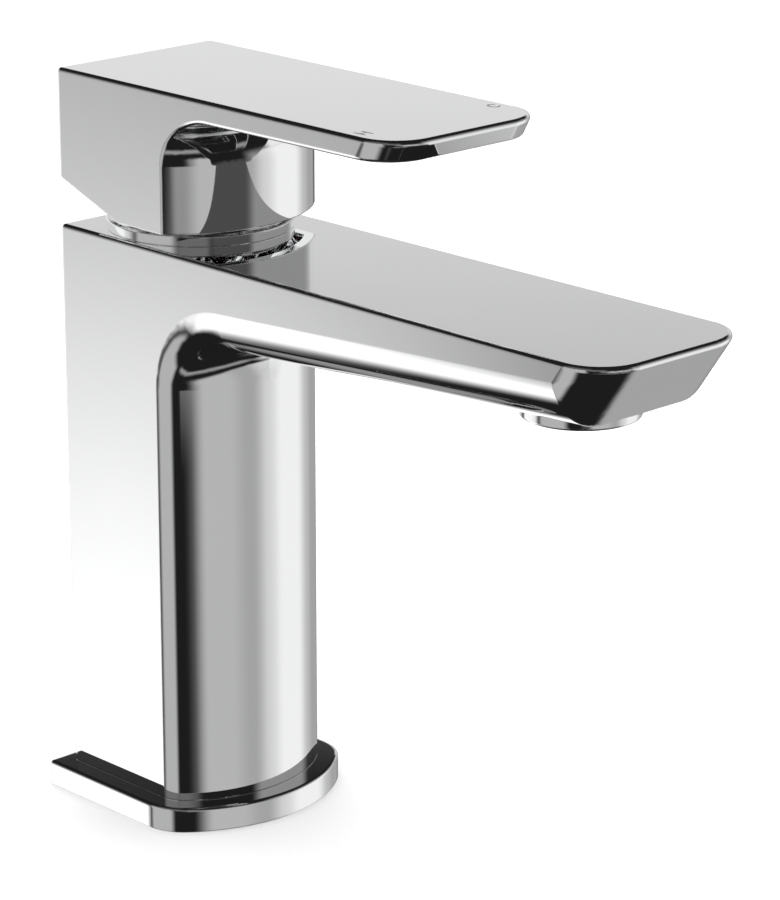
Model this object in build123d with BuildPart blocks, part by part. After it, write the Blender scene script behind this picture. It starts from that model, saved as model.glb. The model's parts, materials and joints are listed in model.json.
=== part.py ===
"""Single-lever basin mixer: a hollow column with a flush spout, a 35 mm ceramic cartridge and a
flat lever over it.

The origin is on the cartridge axis where the base meets the basin. +Z is up, the spout and the
lever point along -Y, hot is on the -X side and cold on the +X side. Sizes are in millimetres.
"""
import os
from math import asin, cos, radians, sin, sqrt, tan

from build123d import *

os.makedirs("parts", exist_ok=True)

# ---- overall sizes -------------------------------------------------------------------------
HALF_WIDTH = 21.5  # column, spout and lever share one width
COLUMN_BACK = 20.8
COLUMN_FRONT = -21.74  # crown of the bowed front
BOW_RADIUS = 30.0  # the front's plan curve
COLUMN_CORNER = 6.5
BODY_TOP = 128.4
LEVER_TOP = 162.3
EDGE = 0.85  # rounding of the crisp polished edges

# ---- base ----------------------------------------------------------------------------------
FLANGE_TOP = 5.5
FLANGE_SIDE = 4.6  # how far the flange stands out at the sides and front
FLANGE_BACK = 24.1
SPIGOT_INSET = 2.6  # the column's foot inside the flange
SPIGOT_BOTTOM = 0.6
BAY_WALL = 2.4
BAY_TOP = 22.0
SEAL_HEIGHT = 2.4
O_RING_LOW = 2.4
O_RING_HIGH = 4.2
O_RING_DEPTH = 1.1
INLET_X = 9.0
INLET_Y = 5.0
INLET_RADIUS = 4.5  # M10x1 tapping size
STUD_Y = -10.0
STUD_RADIUS = 3.4  # M8 tapping size
STUD_DEPTH = 12.0
CHAMBER_LOW = 34.0
CHAMBER_HIGH = 84.0

# ---- spout ---------------------------------------------------------------------------------
SPOUT_FRONT = -138.1  # sharp corner, before its edge is rounded
SPOUT_SLANT = 35.0  # the front face leans back under the tip
SPOUT_CORNER = 10.5
SPOUT_RISE = 3.4  # the underside climbs towards the tip
SPOUT_LOWER_ROUND = 10.0
ARCH_RADIUS = 20.0  # of the flat sides' edge, where the column bends into the spout
ARCH_Y = -29.83
ARCH_Z = 98.4
ARCH_STEPS = 6
FLAT_BOW = 3000.0  # the spout's underside is all but flat
LIP_ROUND = 1.6  # along the tip's lower edge
LIP_BELOW = 118.0
SECTION_DEPTH = 62.0  # how far the bend's sections reach behind the arch line
TONGUE = 120.0
OUTLET_Y = -111.9
AERATOR_LOW = 110.8
COLLAR_RADIUS = 12.15
COLLAR_TOP = 114.5
THREAD_RADIUS = 11.4
INSERT_RADIUS = 10.2
CHANNEL_HALF = 14.0
CHANNEL_TOP = 124.9
THREAD_TOP = 121.0

# ---- cartridge -----------------------------------------------------------------------------
SEAT = 92.0
BORE = 17.75
NUT_SEAT = 117.5
NUT_BORE = 19.0
PIVOT_Z = 124.0
LIFT = 20.0  # full opening angle of the lever
CRANK = 12.0  # from the pivot down to the ball
BASE_TOP = 99.0
DISC_THICK = 3.6
HOUSING_RADIUS = 15.5
COLLAR_LOW = 112.5
NECK_RADIUS = 13.8
NECK_TOP = 134.5
CAVITY_RADIUS = 13.9
CAVITY_TOP = 116.2
GUIDE_BORE = 11.5
GUIDE_TOP = 135.5
RUNNING = 0.06
SPINDLE = 8.0  # across the flats
SPINDLE_TOP = 153.0
PORT_X = 5.6
PORT_Y = -4.0
PORT_RADIUS = 2.1
RETURN_Y = 5.0
RETURN_RADIUS = 3.3
O_RING_SEAT = 114.0  # groove in the housing's collar
O_RING_SECTION = 2.0
DISC_RADIUS = 13.1
MOVING_DISC = 9.0
CARRIER_RADIUS = 9.6
CARRIER_PLATE = 3.3
CARRIER_BLOCK = 4.4
SOCKET_FLOOR = 1.8
BALL_RADIUS = 3.4
STEM_TOP = 118.0
PIN_RADIUS = 1.5
GUIDE_FLANGE = 1.5
SLOT_LENGTH = 16.4
NUT_SHOULDER = 127.4
NUT_HEAD_RADIUS = 16.9
NUT_TOP = 130.8
KEY_DEPTH = 1.8

# ---- cover ring ----------------------------------------------------------------------------
RING_RADIUS = 20.1
RING_EDGE = 0.4
RING_LEDGE = 130.7
DOME_RADIUS = 20.4  # centred on the lever's pivot, so the skirt clears it as it rocks
DOME_TOP = 136.9
DOME_MOUTH = 14.1
DOME_WALL = 1.8
RING_BORE = 17.1

# ---- lever ---------------------------------------------------------------------------------
LEVER_FRONT = -82.65  # sharp corner, before its edge is rounded
LEVER_LOW = 157.2
LEVER_TIP_LOW = 157.7
LEVER_TIP_BACK = -80.1
LEVER_CORNER = 9.5
LEVER_ARCH = 11.0
SKIRT_LOW = 132.0
SKIRT_WALL = 2.3
SKIRT_ROOF = 158.0
RAMP_START = 1.5
RAMP_TOP = 139.0
HUB_RADIUS = 8.5
HUB_LOW = 142.0
BUSH_RADIUS = 6.5
SCREW_Z = 148.0
MARK_X = 18.0
MARK_Y = -69.8
MARK_DEPTH = 0.3


def save(piece, name):
    """Label a finished piece and write it as its own STEP file."""
    piece.part.label = name
    export_step(piece.part, f"parts/{name}.step")


def column_outline(grow=0.0, back=None, corner=None):
    """Plan outline of the column, grown outwards: flat back, flat sides and a bowed front."""
    half = HALF_WIDTH + grow
    bow = BOW_RADIUS + grow
    centre = COLUMN_FRONT + BOW_RADIUS
    shoulder = centre - sqrt(bow**2 - half**2)
    rear = COLUMN_BACK + grow if back is None else back
    with BuildSketch(mode=Mode.PRIVATE) as outline:
        with BuildLine():
            Polyline((half, shoulder), (half, rear), (-half, rear), (-half, shoulder))
            ThreePointArc((-half, shoulder), (0, centre - bow), (half, shoulder))
        make_face()
        rounding = COLUMN_CORNER + grow if corner is None else corner
        if rounding > 0:
            fillet(outline.vertices().group_by(Axis.Y)[0], rounding)
    return outline.sketch


def tongue_outline(front, corner):
    """Plan outline with a long straight body and a rounded front end, for trimming a tip."""
    with BuildSketch(mode=Mode.PRIVATE) as outline:
        with Locations((0, front)):
            Rectangle(2 * HALF_WIDTH, TONGUE - front, align=(Align.CENTER, Align.MIN))
        fillet(outline.vertices().group_by(Axis.Y)[0], corner)
    return outline.sketch


def ring_holes(rings, spacing, radius, height):
    """Cut rings of small round holes, six more in each ring, through the current piece."""
    for ring in range(1, rings + 1):
        with Locations((0, OUTLET_Y, height)):
            with PolarLocations(ring * spacing, 6 * ring):
                Hole(radius)


# ---- base pieces ---------------------------------------------------------------------------
with BuildPart() as base_flange:
    with BuildSketch():
        add(column_outline(FLANGE_SIDE, FLANGE_BACK))
    extrude(amount=FLANGE_TOP)
    fillet(base_flange.edges().filter_by(Axis.Z).group_by(Axis.Y)[-1], 0.7)
    fillet(base_flange.edges().group_by(Axis.Z)[-1], 0.7)
    with BuildSketch():
        add(column_outline(0.15 - SPIGOT_INSET))
    extrude(amount=FLANGE_TOP, mode=Mode.SUBTRACT)
    with BuildSketch():
        add(column_outline(FLANGE_SIDE - 1.6, FLANGE_BACK - 1.4))
        add(column_outline(0.4), mode=Mode.SUBTRACT)
    extrude(amount=SEAL_HEIGHT, mode=Mode.SUBTRACT)
save(base_flange, "base_flange")

with BuildPart() as base_seal:
    with BuildSketch():
        add(column_outline(FLANGE_SIDE - 1.6, FLANGE_BACK - 1.4))
        add(column_outline(0.4), mode=Mode.SUBTRACT)
    extrude(amount=SEAL_HEIGHT)
save(base_seal, "base_seal")

with BuildPart() as spigot_ring:
    with BuildSketch(Plane.XY.offset(O_RING_LOW)):
        add(column_outline(0.15 - SPIGOT_INSET))
        add(column_outline(-SPIGOT_INSET - O_RING_DEPTH), mode=Mode.SUBTRACT)
    extrude(amount=O_RING_HIGH - O_RING_LOW)
save(spigot_ring, "spigot_ring")

# ---- body casting --------------------------------------------------------------------------
slant_back = tan(radians(SPOUT_SLANT))
bend = 90 - SPOUT_RISE


def bend_plane(angle):
    """Plane of the bent bar's cross-section, turned about the arch's centre line."""
    turn = radians(angle)
    return Plane((0, ARCH_Y, ARCH_Z), x_dir=(1, 0, 0), z_dir=(0, -sin(turn), cos(turn)))


def bar_section(angle, depth):
    """Section of the column and spout at an angle round the arch.

    The nose is bowed with tight corners at the column, and flatter with wider corners at the spout.
    """
    part_way = angle / bend
    blend = part_way**2 * (3 - 2 * part_way)
    corner = COLUMN_CORNER + (SPOUT_LOWER_ROUND - COLUMN_CORNER) * blend
    bow = 1 / ((1 - blend) / BOW_RADIUS + blend / FLAT_BOW)
    inset = HALF_WIDTH - corner
    bow_centre = ARCH_RADIUS + sqrt((bow - corner) ** 2 - inset**2)
    lean = asin(inset / (bow - corner))
    touch_x = bow * sin(lean)
    touch_y = bow_centre - bow * cos(lean)
    middle = (radians(90) + lean) / 2
    middle_x = inset + corner * sin(middle)
    middle_y = ARCH_RADIUS - corner * cos(middle)
    with BuildSketch(mode=Mode.PRIVATE) as section:
        with BuildLine():
            for side in (1, -1):
                Line((side * HALF_WIDTH, depth), (side * HALF_WIDTH, ARCH_RADIUS))
                ThreePointArc((side * HALF_WIDTH, ARCH_RADIUS), (side * middle_x, middle_y),
                              (side * touch_x, touch_y))
            ThreePointArc((touch_x, touch_y), (0, bow_centre - bow), (-touch_x, touch_y))
            Line((HALF_WIDTH, depth), (-HALF_WIDTH, depth))
        make_face()
    return section.sketch


with BuildPart() as body_casting:
    # the bend, the column below it and the spout beyond it
    for step in range(ARCH_STEPS + 1):
        with BuildSketch(bend_plane(bend * step / ARCH_STEPS)):
            add(bar_section(bend * step / ARCH_STEPS, SECTION_DEPTH))
    loft()
    with BuildSketch(bend_plane(0)):
        add(bar_section(0, COLUMN_BACK - ARCH_Y))
    extrude(amount=FLANGE_TOP - ARCH_Z)
    with BuildSketch(bend_plane(bend)):
        add(bar_section(bend, SECTION_DEPTH))
    extrude(amount=TONGUE)
    with BuildSketch(Plane.XY.offset(FLANGE_TOP)):
        with Locations((0, COLUMN_BACK)):
            Rectangle(3 * HALF_WIDTH, 3 * TONGUE, align=(Align.CENTER, Align.MAX))
    extrude(amount=BODY_TOP - FLANGE_TOP, mode=Mode.INTERSECT)
    # the tip's slanting front face, with plan corners that slant with it
    with BuildSketch(Plane.XY.offset(BODY_TOP)):
        add(tongue_outline(SPOUT_FRONT, SPOUT_CORNER))
    extrude(amount=BODY_TOP / cos(radians(SPOUT_SLANT)), dir=(0, slant_back, -1),
            mode=Mode.INTERSECT)
    rear = body_casting.edges().filter_by(Axis.Z)
    fillet(rear.filter_by(lambda edge: edge.center().Y > COLUMN_BACK - 1), EDGE)
    fillet(body_casting.edges().group_by(Axis.Z)[-1], EDGE)
    tip = body_casting.edges().filter_by(lambda edge: edge.center().Y < OUTLET_Y)
    fillet(tip.filter_by(lambda edge: edge.center().Z < LIP_BELOW), LIP_ROUND)
    # both sides are made from one, so that the two ends of the lip match exactly
    split(bisect_by=Plane.YZ, keep=Keep.TOP)
    mirror(about=Plane.YZ)
    # foot spigot with its ring groove, and the bay that the hoses and the stud come up into
    with BuildSketch(Plane.XY.offset(SPIGOT_BOTTOM)):
        add(column_outline(-SPIGOT_INSET))
    extrude(amount=FLANGE_TOP - SPIGOT_BOTTOM)
    with BuildSketch(Plane.XY.offset(O_RING_LOW)):
        add(column_outline(1))
        add(column_outline(-SPIGOT_INSET - O_RING_DEPTH), mode=Mode.SUBTRACT)
    extrude(amount=O_RING_HIGH - O_RING_LOW, mode=Mode.SUBTRACT)
    with BuildSketch(Plane.XY.offset(SPIGOT_BOTTOM)):
        add(column_outline(-SPIGOT_INSET - BAY_WALL))
    extrude(amount=BAY_TOP - SPIGOT_BOTTOM, mode=Mode.SUBTRACT)
    with BuildSketch(Plane.XY.offset(BAY_TOP)):
        with Locations((-INLET_X, INLET_Y), (INLET_X, INLET_Y)):
            Circle(INLET_RADIUS)
    extrude(amount=CHAMBER_LOW - BAY_TOP, mode=Mode.SUBTRACT)
    with BuildSketch(Plane.XY.offset(BAY_TOP)):
        with Locations((0, STUD_Y)):
            Circle(STUD_RADIUS)
    extrude(amount=STUD_DEPTH, mode=Mode.SUBTRACT)
    # hot and cold chambers up the column, and their ports into the cartridge seat
    with BuildSketch(Plane.XY.offset(CHAMBER_LOW)):
        with Locations((-9.5, 1.5), (9.5, 1.5)):
            RectangleRounded(15.6, 28, 4)
    extrude(amount=CHAMBER_HIGH - CHAMBER_LOW, mode=Mode.SUBTRACT)
    with BuildSketch(Plane.XY.offset(CHAMBER_HIGH)):
        with Locations((-PORT_X, PORT_Y), (PORT_X, PORT_Y)):
            Circle(PORT_RADIUS)
    extrude(amount=SEAT - CHAMBER_HIGH, mode=Mode.SUBTRACT)
    # cartridge bore and the wider thread for its nut
    with BuildSketch(Plane.XY.offset(SEAT)):
        Circle(BORE)
    extrude(amount=BODY_TOP - SEAT, mode=Mode.SUBTRACT)
    with BuildSketch(Plane.XY.offset(NUT_SEAT)):
        Circle(NUT_BORE)
    extrude(amount=BODY_TOP - NUT_SEAT, mode=Mode.SUBTRACT)
    # mixed water: from the ring round the cartridge, up over the arch and along the spout
    with BuildSketch(Plane.YZ):
        with BuildLine():
            Polyline(
                (-15.0, 102.5),
                (-24.0, 108.5),
                (-31.0, 112.6),
                (OUTLET_Y + 13, 116.0),
                (OUTLET_Y + 13, CHANNEL_TOP),
                (-33.0, CHANNEL_TOP),
                (-15.0, 110.5),
                close=True,
            )
        make_face()
    extrude(amount=CHANNEL_HALF / 2, both=True, mode=Mode.SUBTRACT)
    with BuildSketch(Plane.YZ):
        with BuildLine():
            Polyline(
                (-34.0, 113.0),
                (OUTLET_Y + 13, 116.6),
                (OUTLET_Y + 13, CHANNEL_TOP),
                (-34.0, CHANNEL_TOP),
                close=True,
            )
        make_face()
    extrude(amount=CHANNEL_HALF, both=True, mode=Mode.SUBTRACT)
    with BuildSketch(Plane.XY.offset(THREAD_TOP)):
        with Locations((0, OUTLET_Y)):
            Circle(11)
        with Locations((0, OUTLET_Y + 8)):
            Rectangle(16, 16)
    extrude(amount=CHANNEL_TOP - THREAD_TOP, mode=Mode.SUBTRACT)
    # aerator thread and the seat for its collar
    with BuildSketch(Plane.XY.offset(AERATOR_LOW)):
        with Locations((0, OUTLET_Y)):
            Circle(THREAD_RADIUS + RUNNING)
    extrude(amount=THREAD_TOP - AERATOR_LOW, mode=Mode.SUBTRACT)
    with BuildSketch(Plane.XY.offset(AERATOR_LOW)):
        with Locations((0, OUTLET_Y)):
            Circle(COLLAR_RADIUS + 0.15)
    extrude(amount=COLLAR_TOP - AERATOR_LOW, mode=Mode.SUBTRACT)
save(body_casting, "body_casting")

# ---- aerator -------------------------------------------------------------------------------
with BuildPart() as aerator_housing:
    with BuildSketch(Plane.XY.offset(AERATOR_LOW)):
        with Locations((0, OUTLET_Y)):
            Circle(COLLAR_RADIUS)
    extrude(amount=COLLAR_TOP - AERATOR_LOW)
    with BuildSketch(Plane.XY.offset(COLLAR_TOP)):
        with Locations((0, OUTLET_Y)):
            Circle(THREAD_RADIUS)
    extrude(amount=THREAD_TOP - COLLAR_TOP)
    with BuildSketch(Plane.XY.offset(AERATOR_LOW)):
        with Locations((0, OUTLET_Y)):
            Circle(9.6)
    extrude(amount=1.2, mode=Mode.SUBTRACT)
    with BuildSketch(Plane.XY.offset(AERATOR_LOW + 1.2)):
        with Locations((0, OUTLET_Y)):
            Circle(INSERT_RADIUS)
    extrude(amount=THREAD_TOP - AERATOR_LOW, mode=Mode.SUBTRACT)
    fillet(aerator_housing.edges().group_by(Axis.Z)[0], 0.5)
save(aerator_housing, "aerator_housing")

with BuildPart() as aerator_insert:
    with BuildSketch(Plane.XY.offset(AERATOR_LOW + 1.2)):
        with Locations((0, OUTLET_Y)):
            Circle(INSERT_RADIUS - RUNNING)
    extrude(amount=5.6)
    with BuildSketch(Plane.XY.offset(AERATOR_LOW + 2.6)):
        with Locations((0, OUTLET_Y)):
            Circle(9.2)
    extrude(amount=5.6, mode=Mode.SUBTRACT)
    ring_holes(4, 2.05, 0.72, AERATOR_LOW + 2.6)
save(aerator_insert, "aerator_insert")

with BuildPart() as aerator_screen:
    with BuildSketch(Plane.XY.offset(AERATOR_LOW + 6.8)):
        with Locations((0, OUTLET_Y)):
            Circle(INSERT_RADIUS - RUNNING)
    extrude(amount=0.8)
    ring_holes(5, 1.7, 0.5, AERATOR_LOW + 7.6)
save(aerator_screen, "aerator_screen")

with BuildPart() as aerator_seal:
    with BuildSketch(Plane.XY.offset(THREAD_TOP)):
        with Locations((0, OUTLET_Y)):
            Circle(10.9)
            Circle(8.4, mode=Mode.SUBTRACT)
    extrude(amount=1.6)
save(aerator_seal, "aerator_seal")

# ---- cartridge, fixed pieces ---------------------------------------------------------------
disc_low = BASE_TOP
disc_mid = BASE_TOP + DISC_THICK
disc_high = BASE_TOP + 2 * DISC_THICK

with BuildPart() as cartridge_base:
    with BuildSketch(Plane.XY.offset(SEAT)):
        Circle(HOUSING_RADIUS)
    extrude(amount=BASE_TOP - SEAT)
    with BuildSketch(Plane.XY.offset(SEAT)):
        with Locations((-PORT_X, PORT_Y), (PORT_X, PORT_Y)):
            Circle(PORT_RADIUS)
    extrude(amount=BASE_TOP - SEAT, mode=Mode.SUBTRACT)
    with BuildSketch(Plane.XY.offset(SEAT)):
        with Locations((-PORT_X, PORT_Y), (PORT_X, PORT_Y)):
            Circle(4.4)
    extrude(amount=1.7, mode=Mode.SUBTRACT)
    # mixed water leaves the return port sideways
    with BuildSketch(Plane.XY.offset(BASE_TOP)):
        with Locations((0, RETURN_Y)):
            Circle(RETURN_RADIUS)
    extrude(amount=-4.5, mode=Mode.SUBTRACT)
    with BuildSketch(Plane.XZ.offset(-RETURN_Y)):
        with Locations((0, BASE_TOP - 2.9)):
            Rectangle(2 * RETURN_RADIUS, 3.2)
    extrude(amount=-14, mode=Mode.SUBTRACT)
save(cartridge_base, "cartridge_base")

with BuildPart() as cartridge_seals:
    with BuildSketch(Plane.XY.offset(SEAT)):
        with Locations((-PORT_X, PORT_Y), (PORT_X, PORT_Y)):
            Circle(4.35)
            Circle(2.6, mode=Mode.SUBTRACT)
    extrude(amount=1.65)
save(cartridge_seals, "cartridge_seals")

with BuildPart() as cartridge_housing:
    with BuildSketch(Plane.XY.offset(BASE_TOP)):
        Circle(HOUSING_RADIUS)
    extrude(amount=COLLAR_LOW - BASE_TOP)
    with BuildSketch(Plane.XY.offset(COLLAR_LOW)):
        Circle(BORE - 0.1)
    extrude(amount=NUT_SEAT - COLLAR_LOW)
    with BuildSketch(Plane.XY.offset(NUT_SEAT)):
        Circle(NECK_RADIUS)
    extrude(amount=NECK_TOP - NUT_SEAT)
    with BuildSketch(Plane.XY.offset(O_RING_SEAT)):
        Circle(BORE + 1)
        Circle(BORE - 1.5, mode=Mode.SUBTRACT)
    extrude(amount=O_RING_SECTION, mode=Mode.SUBTRACT)
    with BuildSketch(Plane.XY.offset(BASE_TOP)):
        Circle(DISC_RADIUS + RUNNING)
    extrude(amount=DISC_THICK, mode=Mode.SUBTRACT)
    with BuildSketch(Plane.XY.offset(disc_mid)):
        Circle(CAVITY_RADIUS)
    extrude(amount=CAVITY_TOP - disc_mid, mode=Mode.SUBTRACT)
    with BuildSketch(Plane.XY.offset(CAVITY_TOP)):
        Circle(GUIDE_BORE)
    extrude(amount=NECK_TOP - CAVITY_TOP, mode=Mode.SUBTRACT)
save(cartridge_housing, "cartridge_housing")

with BuildPart() as housing_o_ring:
    with BuildSketch(Plane.XY.offset(O_RING_SEAT)):
        Circle(BORE)
        Circle(BORE - 1.5, mode=Mode.SUBTRACT)
    extrude(amount=O_RING_SECTION)
    fillet(housing_o_ring.edges(), 0.5)
save(housing_o_ring, "housing_o_ring")

with BuildPart() as fixed_disc:
    with BuildSketch(Plane.XY.offset(disc_low)):
        Circle(DISC_RADIUS)
        with Locations((-PORT_X, PORT_Y), (PORT_X, PORT_Y)):
            Circle(PORT_RADIUS, mode=Mode.SUBTRACT)
        with Locations((0, RETURN_Y)):
            Circle(RETURN_RADIUS, mode=Mode.SUBTRACT)
    extrude(amount=DISC_THICK - 0.02)
save(fixed_disc, "fixed_disc")

with BuildPart() as cartridge_nut:
    with BuildSketch(Plane.XY.offset(NUT_SEAT)):
        Circle(NUT_BORE - 0.03)
        Circle(NECK_RADIUS + 0.15, mode=Mode.SUBTRACT)
    extrude(amount=NUT_SHOULDER - NUT_SEAT)
    with BuildSketch(Plane.XY.offset(NUT_SHOULDER)):
        Circle(NUT_HEAD_RADIUS)
        Circle(NECK_RADIUS + 0.15, mode=Mode.SUBTRACT)
    extrude(amount=NUT_TOP - NUT_SHOULDER)
    # six key slots for the fitter's spanner
    with BuildSketch(Plane.XY.offset(NUT_TOP)):
        with PolarLocations(NUT_HEAD_RADIUS - 1.3, 6):
            Rectangle(4, 3)
    extrude(amount=-KEY_DEPTH, mode=Mode.SUBTRACT)
save(cartridge_nut, "cartridge_nut")

with BuildPart() as cover_ring:
    inner_dome = DOME_RADIUS - DOME_WALL
    dome_foot = sqrt(DOME_RADIUS**2 - (RING_LEDGE - PIVOT_Z) ** 2)
    dome_crown = sqrt(DOME_RADIUS**2 - (DOME_TOP - PIVOT_Z) ** 2)
    hollow_high = PIVOT_Z + sqrt(inner_dome**2 - DOME_MOUTH**2)
    hollow_low = PIVOT_Z + sqrt(inner_dome**2 - RING_BORE**2)
    with BuildSketch(Plane.XZ):
        with BuildLine():
            rim = Line((RING_RADIUS, BODY_TOP), (RING_RADIUS, RING_LEDGE - RING_EDGE))
            lip = RadiusArc(rim @ 1, (RING_RADIUS - RING_EDGE, RING_LEDGE), -RING_EDGE)
            ledge = Line(lip @ 1, (dome_foot, RING_LEDGE))
            dome = RadiusArc(ledge @ 1, (dome_crown, DOME_TOP), -DOME_RADIUS)
            mouth = Line(dome @ 1, (DOME_MOUTH, DOME_TOP))
            drop = Line(mouth @ 1, (DOME_MOUTH, hollow_high))
            hollow = RadiusArc(drop @ 1, (RING_BORE, hollow_low), inner_dome)
            wall = Line(hollow @ 1, (RING_BORE, BODY_TOP))
            Line(wall @ 1, rim @ 0)
        make_face()
    revolve(axis=Axis.Z)
save(cover_ring, "cover_ring")

with BuildPart() as temperature_stop_ring:
    with BuildSketch(Plane.XY.offset(NECK_TOP)):
        Circle(13.5)
        Circle(GUIDE_BORE + 0.1, mode=Mode.SUBTRACT)
        with PolarLocations(13.5, 24):
            Circle(0.5, mode=Mode.SUBTRACT)
    extrude(amount=1.5)
save(temperature_stop_ring, "temperature_stop_ring")

# ---- cartridge, moving pieces --------------------------------------------------------------
with BuildPart() as swivel_guide:
    flange_top = CAVITY_TOP - 0.3
    with BuildSketch(Plane.XY.offset(flange_top)):
        Circle(CAVITY_RADIUS - 0.3)
    extrude(amount=-GUIDE_FLANGE)
    with BuildSketch(Plane.XY.offset(flange_top)):
        Circle(GUIDE_BORE - RUNNING)
    extrude(amount=GUIDE_TOP - flange_top)
    # slot that the spindle rocks in, and the hole for its pin
    with BuildSketch(Plane.XY.offset(GUIDE_TOP)):
        with Locations((0, 0.7)):
            Rectangle(SPINDLE + 2 * RUNNING, SLOT_LENGTH)
    extrude(amount=flange_top - GUIDE_FLANGE - GUIDE_TOP, mode=Mode.SUBTRACT)
    with BuildSketch(Plane.YZ):
        with Locations((0, PIVOT_Z)):
            Circle(PIN_RADIUS)
    extrude(amount=GUIDE_BORE, both=True, mode=Mode.SUBTRACT)
save(swivel_guide, "swivel_guide")

with BuildPart() as pivot_pin:
    with BuildSketch(Plane.YZ):
        with Locations((0, PIVOT_Z)):
            Circle(PIN_RADIUS)
    extrude(amount=GUIDE_BORE - 0.9, both=True)
save(pivot_pin, "pivot_pin")

with BuildPart() as spindle:
    with BuildSketch(Plane.XY.offset(STEM_TOP)):
        Rectangle(SPINDLE, SPINDLE)
    extrude(amount=SPINDLE_TOP - STEM_TOP)
    chamfer(spindle.edges().group_by(Axis.Z)[-1], 0.8)
    with BuildSketch(Plane.XY.offset(PIVOT_Z - CRANK)):
        Circle(2.4)
    extrude(amount=STEM_TOP - PIVOT_Z + CRANK)
    with Locations((0, 0, PIVOT_Z - CRANK)):
        Sphere(BALL_RADIUS)
    with BuildSketch(Plane.YZ):
        with Locations((0, PIVOT_Z)):
            Circle(PIN_RADIUS + RUNNING)
    extrude(amount=SPINDLE, both=True, mode=Mode.SUBTRACT)
save(spindle, "spindle")

with BuildPart() as disc_carrier:
    with BuildSketch(Plane.XY.offset(disc_high)):
        Circle(CARRIER_RADIUS)
    extrude(amount=CARRIER_PLATE)
    with BuildSketch(Plane.XY.offset(disc_high + CARRIER_PLATE)):
        RectangleRounded(13, 12, 2)
    extrude(amount=CARRIER_BLOCK)
    # socket that the spindle's ball drives
    with BuildSketch(Plane.XY.offset(disc_high + CARRIER_PLATE + CARRIER_BLOCK)):
        Circle(BALL_RADIUS + 0.1)
    extrude(amount=SOCKET_FLOOR - CARRIER_PLATE - CARRIER_BLOCK, mode=Mode.SUBTRACT)
save(disc_carrier, "disc_carrier")

with BuildPart() as moving_disc:
    with BuildSketch(Plane.XY.offset(disc_mid)):
        Circle(MOVING_DISC)
    extrude(amount=DISC_THICK)
    with BuildSketch(Plane.XY.offset(disc_mid)):
        with Locations((0, 3.2)):
            Ellipse(6.6, 4.6)
    extrude(amount=2.0, mode=Mode.SUBTRACT)
save(moving_disc, "moving_disc")


# ---- lever ---------------------------------------------------------------------------------
def mark_h():
    """The letter on the hot side, upright to a person in front of the basin."""
    with BuildSketch(mode=Mode.PRIVATE) as letter:
        with Locations((-MARK_X - 0.95, MARK_Y), (-MARK_X + 0.95, MARK_Y)):
            Rectangle(0.42, 3.0)
        with Locations((-MARK_X, MARK_Y)):
            Rectangle(2.0, 0.42)
    return letter.sketch


def mark_c():
    """The letter on the cold side: an oval ring open towards +X."""
    with BuildSketch(mode=Mode.PRIVATE) as letter:
        with Locations((MARK_X, MARK_Y)):
            Ellipse(1.25, 1.5)
            Ellipse(0.83, 1.08, mode=Mode.SUBTRACT)
        with Locations((MARK_X + 1.1, MARK_Y)):
            Rectangle(1.2, 1.2, mode=Mode.SUBTRACT)
    return letter.sketch


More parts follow.
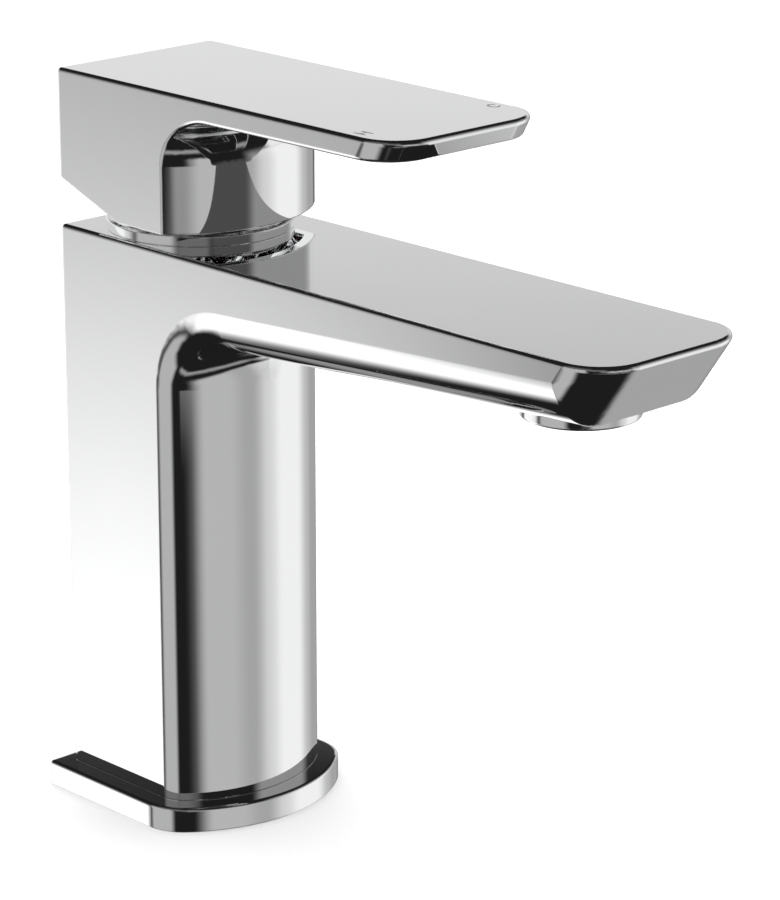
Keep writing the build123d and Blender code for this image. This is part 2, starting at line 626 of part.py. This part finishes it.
with BuildPart() as handle:
    with BuildSketch(Plane.XY.offset(SKIRT_LOW)):
        add(column_outline(corner=0))
    extrude(amount=LEVER_TOP - SKIRT_LOW)
    with BuildSketch(Plane.YZ):
        with BuildLine():
            Polyline(
                (0, LEVER_TOP),
                (LEVER_FRONT, LEVER_TOP),
                (LEVER_TIP_BACK, LEVER_TIP_LOW),
                (0, LEVER_LOW),
                close=True,
            )
        make_face()
    extrude(amount=HALF_WIDTH, both=True)
    underarm = handle.edges().filter_by_position(Axis.Z, LEVER_LOW - 1, LEVER_TIP_LOW + 0.2)
    underarm = underarm.filter_by(lambda edge: edge.center().Y > -30 and edge.length > 35)
    fillet(underarm, LEVER_ARCH)
    # the tip's plan corners, sheared with its slanting front face
    lean = (LEVER_TIP_BACK - LEVER_FRONT) / (LEVER_TOP - LEVER_TIP_LOW)
    with BuildSketch(Plane.XY.offset(LEVER_TOP)):
        add(tongue_outline(LEVER_FRONT, LEVER_CORNER))
    extrude(amount=45, dir=(0, lean, -1), mode=Mode.INTERSECT)
    # the heel is cut away so that the lever can rock back over the body
    with BuildSketch(Plane.YZ):
        with BuildLine():
            Polyline(
                (RAMP_START, SKIRT_LOW),
                (COLUMN_BACK, RAMP_TOP),
                (COLUMN_BACK + 5, RAMP_TOP),
                (COLUMN_BACK + 5, SKIRT_LOW - 5),
                (RAMP_START, SKIRT_LOW - 5),
                close=True,
            )
        make_face()
    extrude(amount=HALF_WIDTH + 5, both=True, mode=Mode.SUBTRACT)
    upright = handle.edges().filter_by(Axis.Z)
    fillet(upright.filter_by(lambda edge: edge.length > 10), EDGE)
    fillet(handle.edges().group_by(Axis.Z)[-1], EDGE)
    # hollow skirt with a hub for the spindle
    with BuildSketch(Plane.XY.offset(SKIRT_LOW)):
        add(column_outline(-SKIRT_WALL, corner=0))
    extrude(amount=SKIRT_ROOF - SKIRT_LOW, mode=Mode.SUBTRACT)
    with BuildSketch(Plane.XY.offset(HUB_LOW)):
        Circle(HUB_RADIUS)
    extrude(amount=SKIRT_ROOF - HUB_LOW)
    with BuildSketch(Plane.XY.offset(HUB_LOW)):
        Circle(BUSH_RADIUS)
    extrude(amount=SPINDLE_TOP + 0.6 - HUB_LOW, mode=Mode.SUBTRACT)
    # grub screw hole through the hub, and the hole behind it that the plug closes
    with BuildSketch(Plane.XZ.offset(-SPINDLE / 2)):
        with Locations((0, SCREW_Z)):
            Circle(2.5)
    extrude(amount=-8, mode=Mode.SUBTRACT)
    with BuildSketch(Plane.XZ.offset(-COLUMN_BACK)):
        with Locations((0, SCREW_Z)):
            Circle(3.0)
    extrude(amount=4, mode=Mode.SUBTRACT)
    # shallow pockets that hold the two letters
    with BuildSketch(Plane.XY.offset(LEVER_TOP)):
        add(mark_h())
        add(mark_c())
    extrude(amount=-MARK_DEPTH, mode=Mode.SUBTRACT)
save(handle, "handle")

with BuildPart() as hot_mark:
    with BuildSketch(Plane.XY.offset(LEVER_TOP)):
        add(mark_h())
    extrude(amount=-MARK_DEPTH)
save(hot_mark, "hot_mark")

with BuildPart() as cold_mark:
    with BuildSketch(Plane.XY.offset(LEVER_TOP)):
        add(mark_c())
    extrude(amount=-MARK_DEPTH)
save(cold_mark, "cold_mark")

with BuildPart() as handle_bush:
    with BuildSketch(Plane.XY.offset(HUB_LOW)):
        Circle(BUSH_RADIUS - 0.02)
        Rectangle(SPINDLE + 0.04, SPINDLE + 0.04, mode=Mode.SUBTRACT)
    extrude(amount=SPINDLE_TOP - HUB_LOW)
    with BuildSketch(Plane.XZ.offset(-SPINDLE / 2)):
        with Locations((0, SCREW_Z)):
            Circle(2.5)
    extrude(amount=-8, mode=Mode.SUBTRACT)
save(handle_bush, "handle_bush")

with BuildPart() as grub_screw:
    with BuildSketch(Plane.XZ.offset(-SPINDLE / 2)):
        with Locations((0, SCREW_Z)):
            Circle(2.48)
    extrude(amount=-5.5)
    with BuildSketch(Plane.XZ.offset(-SPINDLE / 2 - 5.5)):
        with Locations((0, SCREW_Z)):
            RegularPolygon(1.45, 6)
    extrude(amount=2.5, mode=Mode.SUBTRACT)
save(grub_screw, "grub_screw")

with BuildPart() as index_plug:
    with BuildSketch(Plane.XZ.offset(-COLUMN_BACK)):
        with Locations((0, SCREW_Z)):
            Circle(2.95)
    extrude(amount=2.3)
    fillet(index_plug.faces().sort_by(Axis.Y)[-1].edges(), 0.3)
save(index_plug, "index_plug")
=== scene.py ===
import json
import math

import bpy
from mathutils import Euler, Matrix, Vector


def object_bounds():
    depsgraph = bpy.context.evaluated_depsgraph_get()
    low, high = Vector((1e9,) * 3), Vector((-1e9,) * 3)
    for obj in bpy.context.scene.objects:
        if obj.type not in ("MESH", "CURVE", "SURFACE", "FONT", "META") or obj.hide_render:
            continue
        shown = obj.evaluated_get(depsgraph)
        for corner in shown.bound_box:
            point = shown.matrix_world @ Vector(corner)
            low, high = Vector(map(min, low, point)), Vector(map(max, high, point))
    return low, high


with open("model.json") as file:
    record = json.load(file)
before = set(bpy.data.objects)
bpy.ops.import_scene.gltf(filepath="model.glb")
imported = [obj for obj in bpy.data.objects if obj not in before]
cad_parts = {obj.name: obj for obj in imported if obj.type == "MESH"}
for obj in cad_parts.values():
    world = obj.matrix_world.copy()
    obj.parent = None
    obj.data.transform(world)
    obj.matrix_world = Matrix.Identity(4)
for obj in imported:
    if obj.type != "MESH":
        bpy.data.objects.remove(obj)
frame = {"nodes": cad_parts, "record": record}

CAD_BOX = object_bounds()
MM = 0.001
SCENE = bpy.context.scene


# ---- camera -------------------------------------------------------------------------------
SENSOR_WIDTH = 36.0
LENS = 149.8
CAMERA_PLACE = Vector((-507.3, -588.75, 323.36)) * MM
CAMERA_DOWN = 17.56  # degrees below level
CAMERA_TURN = -43.73  # degrees away from looking along +Y


def make_camera():
    """A long lens a little above the tap, looking at its hot side and front."""
    data = bpy.data.cameras.new("camera")
    data.sensor_width = SENSOR_WIDTH
    data.lens = LENS
    camera = bpy.data.objects.new("camera", data)
    SCENE.collection.objects.link(camera)
    camera.location = CAMERA_PLACE
    tilt = math.radians(90 - CAMERA_DOWN)
    camera.rotation_euler = Euler((tilt, 0, math.radians(CAMERA_TURN)))
    SCENE.camera = camera


# ---- node helpers -------------------------------------------------------------------------
# The Mix node has its own pair of inputs and its own output for each kind of value.
MIX_SOCKETS = {"FLOAT": (2, 3, 0), "RGBA": (6, 7, 2)}


def add_node(tree, kind, **settings):
    node = tree.nodes.new(kind)
    for name, value in settings.items():
        setattr(node, name, value)
    return node


def feed(tree, node, socket, value):
    """Connect an output to a socket, or set the socket to a plain number or colour."""
    if isinstance(value, bpy.types.NodeSocket):
        tree.links.new(value, node.inputs[socket])
    else:
        node.inputs[socket].default_value = value


def math_node(tree, operation, a, b=0.0, c=0.0):
    node = add_node(tree, "ShaderNodeMath", operation=operation)
    for index, value in enumerate((a, b, c)):
        feed(tree, node, index, value)
    return node.outputs[0]


def remap(tree, value, from_low, from_high, to_low, to_high, kind="LINEAR"):
    node = add_node(tree, "ShaderNodeMapRange", interpolation_type=kind)
    numbers = (value, from_low, from_high, to_low, to_high)
    for index, number in enumerate(numbers):
        feed(tree, node, index, number)
    return node.outputs[0]


def mix_node(tree, kind, amount, low, high, **settings):
    node = add_node(tree, "ShaderNodeMix", data_type=kind, **settings)
    low_socket, high_socket, result = MIX_SOCKETS[kind]
    feed(tree, node, 0, amount)
    feed(tree, node, low_socket, low)
    feed(tree, node, high_socket, high)
    return node.outputs[result]


# ---- studio -------------------------------------------------------------------------------
# Soft-edged panels round the tap, laid over each other from first to last. Each edge is an angle
# in degrees and the half-width of its soft border: left and right azimuth, low and high
# elevation. The level is the panel's brightness, where 1 is white.
DARK = 0.012  # where no panel lies
PANELS = (
    ("rear left sky", (140, 8), (205, 8), (18, 6), (60, 10), 0.10),
    ("rear sky", (200, 6), (240, 6), (4, 5), (40, 10), 0.14),
    ("front ceiling, dim end", (-118, 6), (-66, 6), (5, 5), (20, 3), 0.07),
    ("front ceiling", (-66, 6), (10, 8), (4, 6), (30, 8), 0.27),
    ("back wall", (10, 10), (125, 8), (-16, 8), (18.5, 11.5), 0.83),
    ("dark above the back wall", (-5, 8), (128, 6), (21, 2), (70, 10), DARK),
    ("left softbox", (40, 8), (135.5, 6.5), (-42.5, 6), (-13, 12), 1.2),
    ("gap behind the softbox", (84, 4), (98, 4), (-36, 4), (-8, 6), 0.30),
    ("left rim strip", (124, 4), (142, 4), (-12, 8), (6, 10), 0.40),
    ("left fill", (144, 5), (197, 7), (-42, 5), (20, 6), 0.45),
    ("low strip", (-148, 8), (-45, 8), (-51, 4), (-43, 4), 0.30),
    ("front fill, high end", (-133, 5), (-100, 10), (-16.5, 1.5), (2, 4), 0.28),
    ("front fill", (-116.5, 8), (-45, 10), (-30, 4), (2, 5), 0.47),
    ("front fill, dim end", (-80, 9), (-60, 7), (-30, 4), (2, 5), 0.38),
    ("right fill", (0, 8), (44, 7), (-30, 4), (6, 6), 0.37),
    ("dark right edge", (30, 5), (44, 4), (-27, 4), (-4, 4), 0.10),
    ("low right fill", (-14, 12), (42, 6), (-55, 8), (-28, 5), 0.37),
    ("right softbox", (-51, 17), (0, 15), (-30, 3), (8, 6), 0.90),
    ("low right softbox", (-42, 8), (-8, 6), (-44, 4), (-28, 4), 0.85),
)


# Lights for the floor and the dull pieces: name, place and side in metres, power in watts.
LIGHTS = (
    ("overhead", (0.3, 0.2, 2.6), 4.0, 150.0),
    ("front", (-1.6, -2.4, 2.0), 2.5, 60.0),
)
FLOOR_HALF = 6.0  # metres


def edge_mask(tree, value, edge, rising):
    """1 on the panel's side of an edge and 0 beyond it, with a soft step between."""
    middle, soft = edge
    ends = (0.0, 1.0) if rising else (1.0, 0.0)
    return remap(tree, value, middle - soft, middle + soft, *ends, kind="SMOOTHSTEP")


def lay_panel(tree, below, azimuth, elevation, panel):
    """Mix one panel over the brightness below it."""
    name, left, right, low, high, level = panel
    middle = (left[0] + right[0]) / 2
    turned = math_node(tree, "SUBTRACT", azimuth, middle)
    turned = math_node(tree, "WRAP", turned, 180.0, -180.0)
    masks = (
        edge_mask(tree, turned, (left[0] - middle, left[1]), True),
        edge_mask(tree, turned, (right[0] - middle, right[1]), False),
        edge_mask(tree, elevation, low, True),
        edge_mask(tree, elevation, high, False),
    )
    cover = masks[0]
    for mask in masks[1:]:
        cover = math_node(tree, "MULTIPLY", cover, mask)
    return mix_node(tree, "FLOAT", cover, below, level, label=name)


def make_world():
    """The studio that the chrome reflects. The camera itself sees plain white."""
    world = bpy.data.worlds.new("studio")
    SCENE.world = world
    world.use_nodes = True
    tree = world.node_tree
    background = tree.nodes["Background"]
    direction = add_node(tree, "ShaderNodeTexCoord").outputs["Generated"]
    parts = add_node(tree, "ShaderNodeSeparateXYZ")
    feed(tree, parts, 0, direction)
    azimuth = math_node(tree, "ARCTAN2", parts.outputs[1], parts.outputs[0])
    azimuth = math_node(tree, "DEGREES", azimuth)
    elevation = math_node(tree, "DEGREES", math_node(tree, "ARCSINE", parts.outputs[2]))
    level = DARK
    for panel in PANELS:
        level = lay_panel(tree, level, azimuth, elevation, panel)
    to_camera = add_node(tree, "ShaderNodeLightPath").outputs["Is Camera Ray"]
    shown = mix_node(tree, "FLOAT", to_camera, level, 1.0, label="white to the camera")
    feed(tree, background, "Color", shown)


def make_light(name, place, size, power):
    """A soft square panel, aimed at the tap's foot and hidden from the chrome."""
    data = bpy.data.lights.new(name, "AREA")
    data.shape = "SQUARE"
    data.size = size
    data.energy = power
    light = bpy.data.objects.new(name, data)
    SCENE.collection.objects.link(light)
    light.location = place
    aim = Vector((0, 0, 0)) - Vector(place)
    light.rotation_euler = aim.to_track_quat("-Z", "Y").to_euler()
    light.visible_glossy = False
    light.visible_camera = False


def make_floor():
    """A pale paper floor. The panels stand in for it in reflections."""
    mesh = bpy.data.meshes.new("floor")
    turns = ((-1, -1), (1, -1), (1, 1), (-1, 1))
    corners = [(x * FLOOR_HALF, y * FLOOR_HALF, 0) for x, y in turns]
    mesh.from_pydata(corners, [], [(0, 1, 2, 3)])
    floor = bpy.data.objects.new("floor", mesh)
    SCENE.collection.objects.link(floor)
    floor.location.z = CAD_BOX[0][2]
    floor.visible_glossy = False
    material, tree, shader, where = new_material("paper")
    grain = noise(tree, where, 900.0, 2.0)
    feed(tree, shader, "Base Color", remap(tree, grain, 0.3, 0.7, 0.93, 0.95))
    feed(tree, shader, "Roughness", 0.9)
    feed(tree, shader, "Specular IOR Level", 0.2)
    mesh.materials.append(material)


# ---- materials ----------------------------------------------------------------------------
EDGE_ROUND = 0.35 * MM  # edges smaller than the CAD rounds, shown by the chrome shader
# Moulded pieces: slot, two close tones, range of roughness, scale of the grain, its depth in mm.
MOULDED = (
    ("cartridge_plastic", (0.70, 0.70, 0.67), (0.82, 0.82, 0.80), (0.34, 0.48), 1800.0, 0.008),
    ("stop_plastic", (0.50, 0.04, 0.035), (0.68, 0.08, 0.06), (0.30, 0.46), 1800.0, 0.008),
    ("bush_plastic", (0.02, 0.02, 0.022), (0.05, 0.05, 0.053), (0.38, 0.55), 1500.0, 0.010),
    ("rubber", (0.016, 0.016, 0.017), (0.045, 0.044, 0.043), (0.62, 0.85), 900.0, 0.020),
    ("aerator_plastic", (0.58, 0.59, 0.60), (0.74, 0.75, 0.76), (0.28, 0.42), 2000.0, 0.006),
    ("plug_plastic", (0.42, 0.43, 0.45), (0.55, 0.56, 0.58), (0.16, 0.28), 2400.0, 0.003),
    ("mark_enamel", (0.07, 0.07, 0.075), (0.12, 0.12, 0.125), (0.24, 0.40), 5000.0, 0.004),
)


def new_material(name):
    """A material with its tree, its shader and the coordinates of the piece it is on."""
    material = bpy.data.materials.new(name)
    material.use_nodes = True
    tree = material.node_tree
    where = add_node(tree, "ShaderNodeTexCoord").outputs["Object"]
    return material, tree, tree.nodes["Principled BSDF"], where


def noise(tree, where, scale, detail=3.0):
    node = add_node(tree, "ShaderNodeTexNoise")
    feed(tree, node, "Vector", where)
    feed(tree, node, "Scale", scale)
    feed(tree, node, "Detail", detail)
    return node.outputs[0]


def stretched(tree, where, scale):
    """Texture coordinates scaled differently along each axis."""
    node = add_node(tree, "ShaderNodeMapping")
    feed(tree, node, "Vector", where)
    feed(tree, node, "Scale", scale)
    return node.outputs[0]


def two_tone(tree, amount, low, high):
    return mix_node(tree, "RGBA", amount, (*low, 1.0), (*high, 1.0))


def bump(tree, height, depth, under=None):
    node = add_node(tree, "ShaderNodeBump")
    feed(tree, node, "Strength", 1.0)
    feed(tree, node, "Distance", depth)
    feed(tree, node, "Height", height)
    if under is not None:
        feed(tree, node, "Normal", under)
    return node.outputs[0]


def chrome():
    """Bright chrome plate: a mirror with a faint waviness, soft wiping marks and round edges."""
    material, tree, shader, where = new_material("chrome_plate")
    feed(tree, shader, "Metallic", 1.0)
    cloud = noise(tree, where, 30.0)
    tone = two_tone(tree, cloud, (0.945, 0.95, 0.955), (0.975, 0.975, 0.975))
    feed(tree, shader, "Base Color", tone)
    wiped = noise(tree, stretched(tree, where, (60.0, 60.0, 500.0)), 4.0, 2.0)
    smear = remap(tree, wiped, 0.45, 0.75, 0.012, 0.034)
    speck = remap(tree, noise(tree, where, 2500.0, 2.0), 0.62, 0.8, 0.0, 0.05)
    feed(tree, shader, "Roughness", math_node(tree, "ADD", smear, speck))
    bevel = add_node(tree, "ShaderNodeBevel", samples=4)
    feed(tree, bevel, "Radius", EDGE_ROUND)
    wave = noise(tree, where, 110.0, 1.0)
    feed(tree, shader, "Normal", bump(tree, wave, 0.0025 * MM, bevel.outputs[0]))
    return material


def turned_brass():
    """Brass with the fine rings a lathe leaves."""
    material, tree, shader, where = new_material("machined_brass")
    feed(tree, shader, "Metallic", 1.0)
    stain = noise(tree, where, 180.0, 4.0)
    feed(tree, shader, "Base Color", two_tone(tree, stain, (0.60, 0.44, 0.20), (0.80, 0.64, 0.34)))
    rings = add_node(tree, "ShaderNodeTexWave", wave_type="RINGS", rings_direction="Z")
    feed(tree, rings, "Vector", where)
    feed(tree, rings, "Scale", 900.0)
    feed(tree, rings, "Distortion", 0.6)
    dull = math_node(tree, "MULTIPLY", stain, 0.2)
    feed(tree, shader, "Roughness", math_node(tree, "ADD", dull, 0.16))
    feed(tree, shader, "Normal", bump(tree, rings.outputs["Fac"], 0.006 * MM))
    return material


def cast_brass():
    """The unplated inside of the casting: sandy, stained brass."""
    material, tree, shader, where = new_material("cast_brass")
    feed(tree, shader, "Metallic", 1.0)
    stain = noise(tree, where, 90.0, 6.0)
    feed(tree, shader, "Base Color", two_tone(tree, stain, (0.34, 0.24, 0.11), (0.62, 0.47, 0.24)))
    feed(tree, shader, "Roughness", remap(tree, stain, 0.3, 0.7, 0.42, 0.62))
    sand = noise(tree, where, 1500.0, 4.0)
    feed(tree, shader, "Normal", bump(tree, sand, 0.05 * MM))
    return material


def ground_steel():
    """Stainless steel with fine grinding lines."""
    material, tree, shader, where = new_material("stainless_steel")
    feed(tree, shader, "Metallic", 1.0)
    lines = noise(tree, stretched(tree, where, (40.0, 3000.0, 3000.0)), 1.0, 2.0)
    feed(tree, shader, "Base Color", two_tone(tree, lines, (0.52, 0.52, 0.54), (0.70, 0.70, 0.71)))
    feed(tree, shader, "Roughness", remap(tree, lines, 0.3, 0.7, 0.22, 0.38))
    feed(tree, shader, "Normal", bump(tree, lines, 0.004 * MM))
    return material


def moulded(name, low, high, roughness, grain_scale, grain_depth):
    """Moulded plastic or rubber: two close tones, uneven gloss and a fine surface grain."""
    material, tree, shader, where = new_material(name)
    tone = noise(tree, where, 140.0, 5.0)
    feed(tree, shader, "Base Color", two_tone(tree, tone, low, high))
    smooth, dull = roughness
    gloss = noise(tree, where, 420.0, 3.0)
    feed(tree, shader, "Roughness", remap(tree, gloss, 0.3, 0.7, smooth, dull))
    grain = noise(tree, where, grain_scale, 3.0)
    feed(tree, shader, "Normal", bump(tree, grain, grain_depth))
    return material


def lapped_ceramic():
    """Alumina: warm white with tiny dark grains under a lapped, almost mirror face."""
    material, tree, shader, where = new_material("alumina")
    cells = add_node(tree, "ShaderNodeTexVoronoi")
    feed(tree, cells, "Vector", where)
    feed(tree, cells, "Scale", 2600.0)
    fleck = remap(tree, cells.outputs["Distance"], 0.05, 0.25, 0.0, 1.0)
    feed(tree, shader, "Base Color", two_tone(tree, fleck, (0.66, 0.62, 0.54), (0.90, 0.88, 0.82)))
    haze = noise(tree, where, 260.0)
    feed(tree, shader, "Roughness", remap(tree, haze, 0.3, 0.7, 0.08, 0.18))
    feed(tree, shader, "Normal", bump(tree, haze, 0.001 * MM))
    return material


def make_finishes():
    """One finish for each material slot in the record."""
    finishes = {
        "chrome": chrome(),
        "brass": turned_brass(),
        "stainless": ground_steel(),
        "ceramic": lapped_ceramic(),
    }
    for slot, low, high, roughness, grain_scale, grain_depth in MOULDED:
        finishes[slot] = moulded(slot, low, high, roughness, grain_scale, grain_depth * MM)
    return finishes


# ---- inside of the casting ----------------------------------------------------------------
# Faces of the casting within these limits are inside it and left unplated.
PLATED_RIM = 128.0 * MM
PLATED_FOOT = 5.6 * MM
COLUMN_WALL = 20.4 * MM
COLUMN_BACK = 19.6 * MM
COLUMN_FRONT = -21.0 * MM
COLUMN_BOW_Y = 8.26 * MM
COLUMN_BOW = 29.0 * MM
OUTLET_Y = -111.9 * MM
OUTLET_WALL = 12.36 * MM
WATERWAY_WALL = 14.2 * MM
WATERWAY_END = -99.2 * MM
WATERWAY_FLOOR = 113.2 * MM


def is_inside(point):
    """Whether a face of the body is in its bores, chambers, waterway or hose bay."""
    x, y, z = point
    if z > PLATED_RIM:
        return False
    if y > COLUMN_FRONT:
        in_bow = math.hypot(x, y - COLUMN_BOW_Y) < COLUMN_BOW
        return in_bow and abs(x) < COLUMN_WALL and y < COLUMN_BACK and z > PLATED_FOOT
    if math.hypot(x, y - OUTLET_Y) < OUTLET_WALL:
        return True
    return abs(x) < WATERWAY_WALL and y > WATERWAY_END and z > WATERWAY_FLOOR


def paint_nodes():
    """Give every CAD node the finish of its slot, and leave the casting's inside unplated."""
    finishes = make_finishes()
    slots = {part["node"]: part["material_slot"] for part in frame["record"]["subparts"]}
    for name, node in frame["nodes"].items():
        node.data.materials.clear()
        node.data.materials.append(finishes[slots[name]])
    body = frame["nodes"]["body_casting"].data
    body.materials.append(cast_brass())
    for face in body.polygons:
        face.material_index = 1 if is_inside(face.center) else 0


make_camera()
make_world()
for light in LIGHTS:
    make_light(*light)
make_floor()
paint_nodes()
SCENE.view_settings.view_transform = "Standard"
SCENE.cycles.glossy_bounces = 8  # chrome mirrors chrome in the gaps round the cover ring
